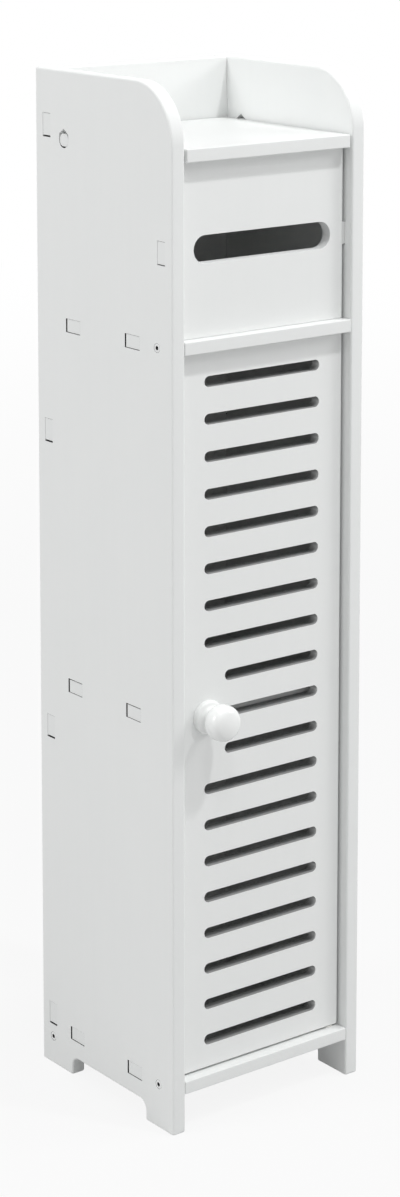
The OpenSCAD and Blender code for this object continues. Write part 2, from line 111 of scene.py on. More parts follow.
PANEL_SCREW = {"radius": 1.75 * MM, "head": 3.5 * MM, "length": 32 * MM,
               "tip": 3 * MM, "tip_radius": 0.44 * MM}
KNOB_SCREW = {"radius": 2 * MM, "head": 4 * MM, "length": 18 * MM,
              "tip": 0.4 * MM, "tip_radius": 1.6 * MM}
PLATE_SCREW = {"radius": 1.4 * MM, "head": 2.6 * MM, "length": 7 * MM,
               "tip": 1.5 * MM, "tip_radius": 0.35 * MM}
CATCH_SCREW = {"radius": 1.4 * MM, "head": 2.6 * MM, "length": 10 * MM,
               "tip": 1.5 * MM, "tip_radius": 0.35 * MM}
PAN_HEIGHT, PAN_TOP = 1.6 * MM, 0.7       # the flat top is a share of the head's radius
SOCKET_R, SOCKET_DEPTH = 1.7 * MM, 2 * MM
CROSS_ARM, CROSS_BLADE, CROSS_DEPTH = 0.55, 0.11, 0.35      # shares of the head's radius
BROKEN_EDGE = 0.08 * MM
RECESS_FLOOR, RECESS_POINT = 0.9, 1.2     # its width and its depth in the middle, as shares
RECESS_REACH = 0.5            # share of the head's radius that the recess takes up
HEAD_RIM = 0.06               # rounding of a flat head, as a share of its radius
DOME_TURNS = (12, 28, 44, 60, 76, 90)     # degrees, from a pan head's rim to its top
KNOB_STEPS = 96

PANEL_SCREW_PLACES = [(-58.5 * MM, 35 * MM), (-58.5 * MM, 605 * MM), (82.45 * MM, 23 * MM)]
KNOB_X = -52.5 * MM           # the knob and the catch
CATCH_SCREW_X, CATCH_SCREW_Y, CATCH_SCREW_Z = 17.25 * MM, -50.05 * MM, 597 * MM
PLATE_SCREW_X, PLATE_SCREW_Y, PLATE_SCREW_Z = 12 * MM, -58.05 * MM, 592.5 * MM

KNOB_LENGTH, KNOB_R = 29 * MM, 13.7 * MM
KNOB_HEAD, KNOB_SHOULDER, KNOB_CROWN = 19 * MM, 7 * MM, 1 * MM
KNOB_FOOT_R, KNOB_FOOT, KNOB_RIM = 13 * MM, 4.5 * MM, 2.2 * MM
KNOB_NECK_R, KNOB_JOINT, KNOB_FLARE = 7.5 * MM, 0.9 * MM, 2.3 * MM
INSERT_HOLE_R, INSERT_DEPTH = 3.05 * MM, 12.05 * MM


# ---- node trees ----

class Amount:
    """A number in a node tree. Sums with it add Math nodes."""

    def __init__(self, nodes, socket):
        self.nodes, self.socket = nodes, socket

    def maths(self, operation, *numbers):
        return self.nodes.add("ShaderNodeMath", {"operation": operation},
                              dict(enumerate(numbers))).value()

    def __add__(self, other):
        return self.maths("ADD", self, other)

    def __sub__(self, other):
        return self.maths("SUBTRACT", self, other)

    def __rsub__(self, other):
        return self.maths("SUBTRACT", other, self)

    def __mul__(self, other):
        return self.maths("MULTIPLY", self, other)

    def __truediv__(self, other):
        return self.maths("DIVIDE", self, other)

    def __gt__(self, other):
        return self.maths("GREATER_THAN", self, other)

    def __lt__(self, other):
        return self.maths("LESS_THAN", self, other)

    def __abs__(self):
        return self.maths("ABSOLUTE", self)

    __radd__ = __add__
    __rmul__ = __mul__


class Node:
    """A node in a tree, for its outputs."""

    def __init__(self, nodes, node):
        self.nodes, self.node = nodes, node

    def out(self, name=0):
        return self.node.outputs[name]

    def value(self, name=0):
        return Amount(self.nodes, self.node.outputs[name])


class Nodes:
    """A node tree that is built one node at a time."""

    def __init__(self, tree):
        self.tree = tree
        self.tree.nodes.clear()

    def add(self, kind, settings=None, sockets=None):
        """Adds a node: its settings first, then the values or links of its sockets.
        A list links several things to one socket."""
        node = self.tree.nodes.new(kind)
        for key, value in (settings or {}).items():
            setattr(node, key, value)
        for key, value in (sockets or {}).items():
            for item in value if isinstance(value, list) else [value]:
                self.plug(node.inputs[key], item)
        return Node(self, node)

    def plug(self, socket, value):
        value = value.socket if isinstance(value, Amount) else value
        if isinstance(value, bpy.types.NodeSocket):
            self.tree.links.new(value, socket)
        else:
            socket.default_value = value


# ---- finishes ----

class Finish(Nodes):
    """A material whose patterns lie on the object's own coordinates."""

    def __init__(self, name):
        self.material = bpy.data.materials.new("finish_" + name)
        self.material.use_nodes = True
        super().__init__(self.material.node_tree)
        self.place = self.add("ShaderNodeTexCoord").out("Object")

    def noise(self, size, detail=2.0, stretch=(1, 1, 1)):
        """Soft blotches about `size` across, from 0 to 1."""
        spot = self.add("ShaderNodeMapping", {}, {"Vector": self.place, "Scale": stretch}).out()
        sockets = {"Vector": spot, "Scale": 1 / size, "Detail": detail}
        return self.add("ShaderNodeTexNoise", {}, sockets).value("Fac")

    def pores(self, size):
        """Pits about `size` apart: 0 in the middle of a pit, up to 1 between them."""
        sockets = {"Vector": self.place, "Scale": 1 / size}
        return self.add("ShaderNodeTexVoronoi", {}, sockets).value("Distance")

    def mark(self, attribute):
        """A number that the mesh carries."""
        return self.add("ShaderNodeAttribute", {"attribute_name": attribute}).value("Fac")

    def blend(self, amount, low, high):
        """A colour between two colours or colour sockets, by an amount from 0 to 1."""
        low, high = ((*c, 1) if isinstance(c, tuple) else c for c in (low, high))
        return self.add("ShaderNodeMix", {"data_type": "RGBA"}, {0: amount, 6: low, 7: high}).out(2)

    def bump(self, height, depth):
        """Normals of a relief `depth` deep, from a height of 0 to 1."""
        return self.add("ShaderNodeBump", {}, {"Height": height, "Distance": depth}).out()

    def surface(self, sockets):
        """Ends the material in a Principled shader."""
        shader = self.add("ShaderNodeBsdfPrincipled", {}, sockets).out()
        self.add("ShaderNodeOutputMaterial", {}, {"Surface": shader})
        return self.material


def white_board():
    """Foamed board: a satin skin with a faint grain, duller sawn edges with fine pores, and
    painted shade, near black, where the mesh marks it: in the gaps round tabs and on the walls of
    slots."""
    f = Finish("white_board")
    cut = f.mark("cut")
    core = f.mark("core")
    cloud = f.noise(70 * MM, detail=3.0)
    grain = f.noise(1.6 * MM, detail=4.0)
    pores = f.pores(0.6 * MM)
    streaks = f.noise(6 * MM, detail=3.0, stretch=(1, 1, 0.04))
    tone = cloud * 0.5 + grain * 0.25 + streaks * 0.25
    relief = (grain * 0.7 + streaks * 0.3) * (1 - cut) * 0.5 + pores * cut
    skin = f.blend(tone - cut * 0.25, (0.815, 0.83, 0.825), (0.87, 0.88, 0.873))
    # Painted shade, near black, for the gaps round tabs and the walls of slots.
    dark = f.blend(grain, (0.012, 0.012, 0.013), (0.03, 0.03, 0.032))
    return f.surface({
        "Base Color": f.blend(core, skin, dark),
        "Roughness": 0.33 + cloud * 0.1 + grain * 0.06 + cut * 0.2,
        "Normal": f.bump(relief, 0.03 * MM),
    })


def gloss_knob():
    """Polished white moulding with faint flow marks."""
    f = Finish("gloss_knob")
    flow = f.noise(9 * MM, detail=3.0)
    specks = f.noise(0.7 * MM)
    return f.surface({
        "Base Color": f.blend(flow, (0.88, 0.895, 0.885), (0.91, 0.92, 0.915)),
        "Roughness": 0.1 + flow * 0.08 + specks * 0.04,
        "Normal": f.bump(flow * 0.8 + specks * 0.2, 0.04 * MM),
    })


def white_steel():
    """White coating on a screw, with a fine orange peel, and painted shade, near black, in its
    socket.
    """
    f = Finish("white_steel")
    peel = f.noise(0.5 * MM, detail=3.0)
    coat = f.blend(peel, (0.81, 0.825, 0.82), (0.86, 0.87, 0.865))
    # Painted shade, near black, in the screw's socket.
    socket_shade = f.blend(peel, (0.015, 0.015, 0.016), (0.04, 0.04, 0.042))
    return f.surface({
        "Base Color": f.blend(f.mark("core"), coat, socket_shade),
        "Roughness": 0.28 + peel * 0.14,
        "Normal": f.bump(peel, 0.02 * MM),
    })


def white_nylon():
    """Moulded nylon, a little warmer than the boards, with a fine spark texture."""
    f = Finish("white_nylon")
    spark = f.noise(0.5 * MM, detail=4.0)
    cloud = f.noise(8 * MM)
    return f.surface({
        "Base Color": f.blend(cloud, (0.76, 0.755, 0.72), (0.82, 0.815, 0.78)),
        "Roughness": 0.42 + spark * 0.16,
        "Normal": f.bump(spark, 0.03 * MM),
    })


def zinc_steel():
    """Zinc plate: cloudy crystals over fine drawn lines."""
    f = Finish("zinc_steel")
    crystals = f.noise(1.5 * MM, detail=3.0)
    lines = f.noise(0.35 * MM, stretch=(0.05, 1, 1))
    return f.surface({
        "Base Color": f.blend(crystals, (0.55, 0.56, 0.58), (0.69, 0.7, 0.72)),
        "Metallic": 1.0,
        "Roughness": 0.24 + crystals * 0.14 + lines * 0.08,
        "Normal": f.bump(lines, 0.01 * MM),
    })


def brass():
    """Turned brass."""
    f = Finish("brass")
    lines = f.noise(0.3 * MM, stretch=(1, 4, 1))
    return f.surface({
        "Base Color": f.blend(lines, (0.68, 0.51, 0.24), (0.77, 0.61, 0.31)),
        "Metallic": 1.0,
        "Roughness": 0.22 + lines * 0.12,
        "Normal": f.bump(lines, 0.01 * MM),
    })


def ferrite():
    """Dull sintered magnet."""
    f = Finish("ferrite")
    grain = f.noise(0.3 * MM, detail=4.0)
    return f.surface({
        "Base Color": f.blend(grain, (0.03, 0.03, 0.033), (0.075, 0.075, 0.08)),
        "Roughness": 0.5 + grain * 0.25,
        "Normal": f.bump(grain, 0.04 * MM),
    })


FINISHES = {
    "white_board": white_board(),
    "gloss_knob": gloss_knob(),
    "white_steel": white_steel(),
    "white_nylon": white_nylon(),
    "zinc_steel": zinc_steel(),
    "brass": brass(),
    "magnet": ferrite(),
}


# ---- pieces ----

def to_mesh(shape, name):
    """Turns a shape into a mesh that is smooth but for its sharp edges."""
    mesh = bpy.data.meshes.new(name)
    shape.to_mesh(mesh)
    shape.free()
    mesh.shade_smooth()
    return mesh


def new_object(mesh, name):
    thing = bpy.data.objects.new(name, mesh)
    bpy.context.scene.collection.objects.link(thing)
    return thing


def apply_modifiers(piece):
    """Turns a piece's modifiers into plain mesh."""
    evaluated = piece.evaluated_get(bpy.context.evaluated_depsgraph_get())
    mesh = bpy.data.meshes.new_from_object(evaluated)
    piece.modifiers.clear()
    piece.data = mesh


def add_rounding(piece, width):
    """Rounds the edges by their weights, of which 1 gives the full width, and keeps the
    shading of the flat faces flat."""
    bevel = piece.modifiers.new("rounding", "BEVEL")
    bevel.width = width
    bevel.segments = ROUNDING_STEPS
    bevel.limit_method = "WEIGHT"
    bevel.use_clamp_overlap = False
    bevel.loop_slide = False
    piece.modifiers.new("flat_faces", "WEIGHTED_NORMAL").weight = FACE_WEIGHT


def stand_for(piece, node):
    """Gives a finished piece its node's body, slot and finish, and hides the node."""
    if not piece.data.materials:
        piece.data.materials.append(FINISHES[SLOTS[node]])
    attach(piece, BODIES[node])
    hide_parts(node)


def mark_cuts(piece, skin_axis):
    """Marks a board's skins with 0 and its sawn edges with 1."""
    cut = piece.data.attributes.new("cut", "FLOAT", "FACE")
    for face in piece.data.polygons:
        cut.data[face.index].value = 1 - abs(face.normal[skin_axis])


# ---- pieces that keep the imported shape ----

def sharp_groups(shape):
    """The sharp edges of a shape, as lists of edges that hang together."""
    left = {e for e in shape.edges if e.calc_face_angle(0) > SHARP}
    while left:
        group, front = [], [left.pop()]
        while front:
            edge = front.pop()
            group.append(edge)
            near = {e for v in edge.verts for e in v.link_edges} & left
            left -= near
            front += near
        yield group


def reach(verts):
    """The longest side of the box round some vertices."""
    return max(max(v.co[i] for v in verts) - min(v.co[i] for v in verts) for i in range(3))


def rounded(node, edge, hole_edge=None, tab_plane=None, loosen=None):
    """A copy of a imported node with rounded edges. Its holes get hole_edge, and what
    stands out past tab_plane to the left and right gets the rounding of a tab. A hole
    is first passed to loosen, if that is given, as its vertices."""
    shape = bmesh.new()
    shape.from_mesh(frame["nodes"][node].data)
    bmesh.ops.remove_doubles(shape, verts=shape.verts, dist=WELD)
    bmesh.ops.dissolve_limit(shape, angle_limit=FLAT, verts=shape.verts, edges=shape.edges)
    whole = reach(shape.verts)
    weight = shape.edges.layers.float.new("bevel_weight_edge")
    for group in sharp_groups(shape):
        verts = {v for e in group for v in e.verts}
        is_hole = reach(verts) < HOLE_SHARE * whole
        for e in group:
            is_tab = tab_plane and abs(e.verts[0].co.x + e.verts[1].co.x) / 2 > tab_plane
            width = TAB_EDGE if is_tab else hole_edge if is_hole and hole_edge else edge
            e[weight] = width / edge
        if is_hole and loosen:
            loosen(verts)
    piece = new_object(to_mesh(shape, node), node + "_finished")
    add_rounding(piece, edge)
    apply_modifiers(piece)
    return piece


def side_panel(node):
    """A side panel with painted shade on the walls of its holes where there is play round what they
    hold.
    """
    inner_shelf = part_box("inner_shelf")
    ear = (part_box("lid_board")[0].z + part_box("lid_board")[1].z) / 2
    holes = []

    def loosen(verts):
        low, high = (Vector(pick(v.co[i] for v in verts) for i in range(3)) for pick in (min, max))
        width, height = high.y - low.y, high.z - low.z
        holds_shelf, holds_upright = width > LONG_HOLE * height, height > LONG_HOLE * width
        play_above = holds_shelf and inner_shelf[0].z < high.z < inner_shelf[1].z + HOLE_NEAR
        for v in verts:
            if holds_shelf and v.co.y > high.y - WELD:
                v.co.y += SEAM_OPEN
            if holds_shelf and play_above and v.co.z > high.z - WELD:
                v.co.z += SEAM_OPEN
            if holds_shelf and not play_above and v.co.z < low.z + WELD:
                v.co.z -= SEAM_SLIT
            if holds_upright and v.co.z < low.z + WELD:
                v.co.z -= SEAM_OPEN
        holds_ear = not holds_shelf and not holds_upright and low.z < ear < high.z
        holes.append((low, high, holds_upright, holds_ear))

    panel = rounded(node, PANEL_EDGE, TAB_EDGE, loosen=loosen)
    # Painted shade on the walls of the holes: on every wall of a hole for a shelf or a screw, on
    # the up and down walls of an upright's hole, and on the rim and foot of the ear's hole.
    core = panel.data.attributes.new("core", "FLOAT", "FACE")
    for face in panel.data.polygons:
        spot, normal = face.center, face.normal
        for low, high, holds_upright, holds_ear in holes:
            if (abs(normal.x) < SKIN_LEAN
                    and low.y - HOLE_NEAR < spot.y < high.y + HOLE_NEAR
                    and low.z - HOLE_NEAR < spot.z < high.z + HOLE_NEAR):
                is_open = abs(normal.z) > LEVEL_LEAN
                if holds_ear:
                    is_open = abs(normal.x) > RIM_LEAN or normal.z > SILL_LEAN
                core.data[face.index].value = is_open or not (holds_upright or holds_ear)
    return panel


def darken_tabs(board, tab_plane):
    """Cuts the board's faces where its tabs start, and marks painted shade on the tabs' upper
    sides, in the gap above them.
    """
    shape = bmesh.new()
    shape.from_mesh(board.data)
    for side in (-1, 1):
        bmesh.ops.bisect_plane(shape, geom=[*shape.verts, *shape.edges, *shape.faces],
                               plane_co=(side * tab_plane, 0, 0), plane_no=(1, 0, 0))
    shape.to_mesh(board.data)
    shape.free()
    # Painted shade on the tops of the tabs.
    core = board.data.attributes.new("core", "FLOAT", "FACE")
    for face in board.data.polygons:
        is_tab = abs(face.center.x) > tab_plane
        core.data[face.index].value = is_tab and face.normal.z > LEVEL_LEAN


def make_boards():
    tab_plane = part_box("right_side_panel")[0].x + TAB_START
    for node in ("left_side_panel", "right_side_panel"):
        panel = side_panel(node)
        mark_cuts(panel, X)
        stand_for(panel, node)
    for node, skin_axis, is_dark in (
            ("back_panel", Y, True), ("bottom_shelf", Z, False), ("inner_shelf", Z, True),
            ("middle_shelf", Z, False), ("slot_panel", Y, True), ("lid_board", Z, False)):
        board = rounded(node, BOARD_EDGE, CUT_EDGE, tab_plane)
        if is_dark:
            darken_tabs(board, tab_plane)
        mark_cuts(board, skin_axis)
        stand_for(board, node)


def make_fittings():
    for node in ("upper_pin_bush", "lower_pin_bush", "catch_housing", "catch_magnet",
                 "catch_pole_plates", "upper_door_pin", "lower_door_pin", "knob_insert",
                 "strike_plate"):
        stand_for(rounded(node, FITTING_EDGE), node)


# ---- turned pieces ----

def ring(radius):
    return lambda angle: radius


def hexagon(corner):
    """Outline of a hexagonal socket, by its distance from the axis at an angle."""
    half = math.pi / 6
    return lambda angle: corner * math.cos(half) / math.cos(angle % (2 * half) - half)


def cross(head):
    """Outline of a cross recess in a head of this radius."""
    arm, blade = CROSS_ARM * head, CROSS_BLADE * head

    def distance(angle):
        c, s = max(abs(math.cos(angle)), 1e-9), max(abs(math.sin(angle)), 1e-9)
        return max(min(arm / c, blade / s), min(blade / c, arm / s))
    return distance


def cross_corners():
    """Angles of the recess's corners, so that they come out sharp."""
    lean = math.atan2(CROSS_BLADE, CROSS_ARM)
    return [quarter * math.pi / 2 + turn for quarter in range(4)
            for turn in (-lean, lean, math.pi / 4)]


def turned(rings, steps=48, corners=()):
    """A closed shape of outlines round the Z axis, from its foot to its top. A ring is
    (height, outline), and the first and last items are the heights of its two poles."""
    angles = sorted({round(a % math.tau, 6) for a in
                     [math.tau * i / steps for i in range(steps)] + list(corners)})
    shape = bmesh.new()
    poles = [shape.verts.new((0, 0, rings[i])) for i in (0, -1)]
    loops = [[shape.verts.new((outline(a) * math.cos(a), outline(a) * math.sin(a), height))
              for a in angles] for height, outline in rings[1:-1]]
    for i in range(len(angles)):
        j = (i + 1) % len(angles)
        shape.faces.new((poles[0], loops[0][j], loops[0][i]))
        shape.faces.new((poles[1], loops[-1][i], loops[-1][j]))
        for low, high in zip(loops, loops[1:]):
            shape.faces.new((low[i], low[j], high[j], high[i]))
    return shape


def arc(centre, radius, start, end, steps):
    """Points on an arc, as (distance from the axis, height), by angles in degrees."""
    for i in range(steps + 1):
        a = math.radians(start + (end - start) * i / steps)
        yield centre[0] + radius * math.cos(a), centre[1] + radius * math.sin(a)


def knob_outline():
    """The knob's profile from the bottom of its insert hole round to the crown."""
    waist_r = (KNOB_LENGTH - KNOB_HEAD + KNOB_JOINT - KNOB_FOOT) / 2
    waist = Vector((KNOB_NECK_R + waist_r, KNOB_FOOT + waist_r))
    shoulder_r = KNOB_R - KNOB_SHOULDER
    rear = Vector((shoulder_r, KNOB_LENGTH - KNOB_HEAD + KNOB_SHOULDER))
    front = Vector((shoulder_r, KNOB_LENGTH - KNOB_CROWN - KNOB_SHOULDER))
    crown_r = KNOB_SHOULDER + (shoulder_r ** 2 + KNOB_CROWN ** 2) / (2 * KNOB_CROWN)
    crown_turn = math.degrees(math.asin(shoulder_r / (crown_r - KNOB_SHOULDER)))
    flare = math.degrees(math.acos(1 - KNOB_FLARE / waist_r))
    way = rear - waist                   # the waist's arc runs into the head's along this line
    heading = math.degrees(math.atan2(way.y, way.x))
    near, far = waist_r / way.length, KNOB_SHOULDER / way.length
    waist_turn = math.degrees(math.acos((1 + near ** 2 - far ** 2) / (2 * near)))
    rear_turn = math.degrees(math.acos((1 + far ** 2 - near ** 2) / (2 * far)))
    yield INSERT_HOLE_R, INSERT_DEPTH
    yield INSERT_HOLE_R, FITTING_EDGE
    yield INSERT_HOLE_R + FITTING_EDGE, 0
    yield from arc((KNOB_FOOT_R - FITTING_EDGE, FITTING_EDGE), FITTING_EDGE, -90, 0, 3)
    yield from arc((KNOB_FOOT_R - KNOB_RIM, KNOB_FOOT - KNOB_RIM), KNOB_RIM, 0, 90, 10)
    yield from arc(waist, waist_r, 180 + flare, heading + waist_turn, 16)
    yield from arc(rear, KNOB_SHOULDER, heading - 180 - rear_turn, 0, 16)
    yield from arc(front, KNOB_SHOULDER, 0, 90 - crown_turn, 16)
    yield from list(arc((0, KNOB_LENGTH - crown_r), crown_r, 90 - crown_turn, 90, 8))[1:-1]


def make_knob():
    rings = [(height, ring(radius)) for radius, height in knob_outline()]
    shape = turned([INSERT_DEPTH, *rings, KNOB_LENGTH], steps=KNOB_STEPS)
    bmesh.ops.remove_doubles(shape, verts=shape.verts, dist=WELD)
    on_door = Matrix.Translation((KNOB_X, DOOR_LOW.y, DOOR_MIDDLE.z))
    shape.transform(on_door @ Matrix.Rotation(math.pi / 2, 4, "X"))
    knob = new_object(to_mesh(shape, "knob"), "knob_finished")
    knob.data.set_sharp_from_angle(angle=SHARP)
    stand_for(knob, "knob")


# ---- screws ----

def shank(length, radius, tip, tip_radius):
    """Rings of a screw's shank, from its point up to its head."""
    return [-length, (-length, ring(tip_radius)), (tip - length, ring(radius))]


def recess(outline, depth, top=0):
    """Rings of a recess with broken edges and a wall that narrows downwards."""
    return [(top, lambda a: outline(a) + BROKEN_EDGE), (top - BROKEN_EDGE, outline),
            (top - depth, lambda a: RECESS_FLOOR * outline(a)), top - RECESS_POINT * depth]


def countersunk(radius, head, length, tip, tip_radius, outline, depth):
    """Rings of a countersunk screw along +Z, with the flat of its head at zero."""
    rim = HEAD_RIM * head
    return [*shank(length, radius, tip, tip_radius), (radius - head, ring(radius)),
            (-rim, ring(head - rim)), (-0.4 * rim, ring(head - 0.5 * rim)),
            (0, ring(head - 1.5 * rim)), *recess(outline, depth)]


def pan_headed(radius, head, length, tip, tip_radius, outline, depth):
    """Rings of a pan-headed screw along +Z, with its head's bearing face at zero."""
    turns = [math.radians(degrees) for degrees in DOME_TURNS]
    dome = [(PAN_HEIGHT * math.sin(t), ring(head * (PAN_TOP + (1 - PAN_TOP) * math.cos(t))))
            for t in turns]
    return [*shank(length, radius, tip, tip_radius), (0, ring(radius)), (0, ring(head)),
            *dome, *recess(outline, depth, PAN_HEIGHT)]


class Pattern(Nodes):
    """A Geometry Nodes tree with named inputs, for what repeats."""

    KINDS = {int: "NodeSocketInt", float: "NodeSocketFloat",
             bpy.types.Object: "NodeSocketObject", bpy.types.Material: "NodeSocketMaterial"}

    def __init__(self, name, **inputs):
        super().__init__(bpy.data.node_groups.new(name, "GeometryNodeTree"))
        sockets = self.tree.interface
        sockets.new_socket("Geometry", in_out="OUTPUT", socket_type="NodeSocketGeometry")
        sockets.new_socket("Geometry", in_out="INPUT", socket_type="NodeSocketGeometry")
        self.values = {}
        for key, value in inputs.items():
            socket = sockets.new_socket(key, in_out="INPUT", socket_type=self.KINDS[type(value)])
            self.values[socket.identifier] = value
        self.inputs = self.add("NodeGroupInput")

    def given(self, name):
        return self.inputs.value(name)

    def across(self, x=0, y=0, z=0):
        """A vector of three numbers."""
        return self.add("ShaderNodeCombineXYZ", {}, {0: x, 1: y, 2: z}).out()

    def end(self, geometry):
        """Makes the result plain geometry with the finish on it."""
        real = self.add("GeometryNodeRealizeInstances", {}, {"Geometry": geometry}).out()
        done = self.add("GeometryNodeSetMaterial", {},
                        {"Geometry": real, "Material": self.given("finish")}).out()
        self.add("NodeGroupOutput", {}, {"Geometry": done})

    def lay_on(self, piece):
        """Adds the pattern to a piece, with its inputs set."""
        modifier = piece.modifiers.new("pattern", "NODES")
        modifier.node_group = self.tree
        for identifier, value in self.values.items():
            modifier[identifier] = value


def screws_at_points(screw, finish):
    """A screw at each point of a mesh, with its head turned to where the point faces."""
    p = Pattern("screws", screw=screw, finish=finish)
    facing = p.add("GeometryNodeInputNamedAttribute", {"data_type": "FLOAT_VECTOR"},
                   {"Name": "facing"}).out("Attribute")
    turn = p.add("FunctionNodeAlignRotationToVector", {"axis": "Z"}, {"Vector": facing}).out()
    shape = p.add("GeometryNodeObjectInfo", {}, {"Object": p.given("screw")}).out("Geometry")
    p.end(p.add("GeometryNodeInstanceOnPoints", {}, {
        "Points": p.inputs.out("Geometry"), "Instance": shape, "Rotation": turn}).out())
    return p


def mark_socket(screw, head):
    """Marks the faces inside the recess of a screw's head, which get painted shade."""
    core = screw.attributes.new("core", "FLOAT", "FACE")
    for face in screw.polygons:
        x, y, z = face.center
        core.data[face.index].value = math.hypot(x, y) < RECESS_REACH * head and z > -head


def make_screws(node, rings, places, facing, head, corners=()):
    """All the screws of a node: one shape, turned once and laid at each place."""
    screw = new_object(to_mesh(turned(rings, corners=corners), node), node + "_shape")
    screw.data.set_sharp_from_angle(angle=SHARP)
    mark_socket(screw.data, head)
    points = bpy.data.meshes.new(node)
    points.from_pydata(places, [], [])
    for heading in points.attributes.new("facing", "FLOAT_VECTOR", "POINT").data:
        heading.vector = facing
    piece = new_object(points, node + "_finished")
    screws_at_points(screw, FINISHES[SLOTS[node]]).lay_on(piece)
    apply_modifiers(piece)
    bpy.data.objects.remove(screw)
    stand_for(piece, node)


def make_all_screws():
    side_x = CAD_BOX[1].x
    socket = countersunk(**PANEL_SCREW, outline=hexagon(SOCKET_R), depth=SOCKET_DEPTH)
    for side, node in ((-1, "left_panel_screws"), (1, "right_panel_screws")):
        places = [(side * side_x, y, z) for y, z in PANEL_SCREW_PLACES]
        make_screws(node, socket, places, (side, 0, 0), PANEL_SCREW["head"])
    for node, sizes, rings, facing, places in (
            ("catch_screws", CATCH_SCREW, pan_headed, (0, 0, -1),
             [(KNOB_X + side * CATCH_SCREW_X, CATCH_SCREW_Y, CATCH_SCREW_Z) for side in (-1, 1)]),
            ("strike_screws", PLATE_SCREW, countersunk, (0, 1, 0),
             [(KNOB_X + side * PLATE_SCREW_X, PLATE_SCREW_Y, PLATE_SCREW_Z) for side in (-1, 1)]),
            ("knob_screw", KNOB_SCREW, countersunk, (0, 1, 0),
             [(KNOB_X, DOOR_HIGH.y, DOOR_MIDDLE.z)])):
        head = sizes["head"]
        made = rings(**sizes, outline=cross(head), depth=CROSS_DEPTH * head)
        make_screws(node, made, places, facing, head, cross_corners())


# ---- door ----

def add_drill(drills, rings, place, turn):
    mesh = to_mesh(turned(rings), "drill")
    mesh.transform(Matrix.Translation(place) @ turn)
    drills.from_mesh(mesh)
    bpy.data.meshes.remove(mesh)


def door_drills():
    """The holes in the door for its pins and screws, as solids."""
    drills = bmesh.new()
    up, down = Matrix(), Matrix.Rotation(math.pi, 4, "X")
    rearwards = Matrix.Rotation(-math.pi / 2, 4, "X")
    pin = [-PAST, (-PAST, ring(PIN_HOLE_R)), (PIN_HOLE_DEPTH, ring(PIN_HOLE_R)), PIN_HOLE_DEPTH]
    add_drill(drills, pin, (PIN_X, DOOR_MIDDLE.y, DOOR_LOW.z), up)
    add_drill(drills, pin, (PIN_X, DOOR_MIDDLE.y, DOOR_HIGH.z), down)
    r, head, through = KNOB_SCREW["radius"] + FIT, KNOB_SCREW["head"] + FIT, -DOOR_SIZE.y - PAST
    rings = [through, (through, ring(r)), (r - head, ring(r)), (0, ring(head)),
             (PAST, ring(head)), PAST]
    add_drill(drills, rings, (KNOB_X, DOOR_HIGH.y, DOOR_MIDDLE.z), rearwards)
    r, depth = PLATE_SCREW["radius"] + FIT, -PLATE_SCREW["length"] - FIT
    rings = [depth, (depth, ring(r)), (0, ring(r)), 0]
    for side in (-1, 1):
        place = (KNOB_X + side * PLATE_SCREW_X, PLATE_SCREW_Y, PLATE_SCREW_Z)
        add_drill(drills, rings, place, rearwards)
    return drills


def slot_cutter(p, length, moved):
    """A round bar through the board, pulled apart along X to the length of a slot."""
    bar = p.add("GeometryNodeMeshCylinder", {"fill_type": "NGON"}, {
        "Vertices": VENT_STEPS, "Radius": p.given("slot_height") / 2,
        "Depth": p.given("thickness") * 2}).out("Mesh")
    for turn in ((0, 0, math.pi / VENT_STEPS), (math.pi / 2, 0, 0)):
        bar = p.add("GeometryNodeTransform", {}, {"Geometry": bar, "Rotation": turn}).out()
    x = p.add("ShaderNodeSeparateXYZ", {}, {0: p.add("GeometryNodeInputPosition").out()}).value()
    pull = x.maths("SIGN", x) * ((length - p.given("slot_height")) / 2) + moved
    return p.add("GeometryNodeSetPosition", {}, {"Geometry": bar, "Offset": p.across(pull)}).out()


def slotted_board(finish):
    """A board with a ladder of round-ended slots, of which the middle ones start later.
    The solids that it is laid on are drilled out of it as well."""
    p = Pattern("slotted_board", width=DOOR_SIZE.x, thickness=DOOR_SIZE.y, height=DOOR_SIZE.z,
                slots=VENT_COUNT, pitch=VENT_PITCH, slot_height=VENT_HEIGHT,
                slot_length=VENT_LENGTH, short_slots=SHORT_COUNT, short_length=SHORT_LENGTH,
                edge=BOARD_EDGE, slot_edge=CUT_EDGE, roof=VENT_ROOF, sill=VENT_SILL,
                finish=finish)
    size = p.across(p.given("width"), p.given("thickness"), p.given("height"))
    blank = p.add("GeometryNodeMeshCube", {}, {"Size": size}).out("Mesh")
    last = p.given("slots") - 1
    ladder = p.add("GeometryNodeMeshLine", {}, {
        "Count": p.given("slots"), "Start Location": p.across(z=last * p.given("pitch") / -2),
        "Offset": p.across(z=p.given("pitch"))}).out()
    index = p.add("GeometryNodeInputIndex").value()
    is_short = abs(index - last / 2) < p.given("short_slots") / 2
    shift = (p.given("slot_length") - p.given("short_length")) / 2
    cutters = [p.add("GeometryNodeInstanceOnPoints", {}, {
        "Points": ladder, "Selection": chosen, "Instance": slot_cutter(p, length, moved)}).out()
        for length, moved, chosen in ((p.given("slot_length"), 0.0, 1 - is_short),
                                      (p.given("short_length"), shift, is_short))]
    joined = p.add("GeometryNodeJoinGeometry", {}, {"Geometry": cutters}).out()
    slots = p.add("GeometryNodeRealizeInstances", {}, {"Geometry": joined}).out()
    board = p.add("GeometryNodeMeshBoolean", {"operation": "DIFFERENCE", "solver": "EXACT"}, {
        "Mesh 1": blank, "Mesh 2": [slots, p.inputs.out("Geometry")]}).out()
    board = p.add("GeometryNodeSetShadeSmooth", {}, {"Geometry": board}).out()
    p.end(weighted(p, board))
    return p


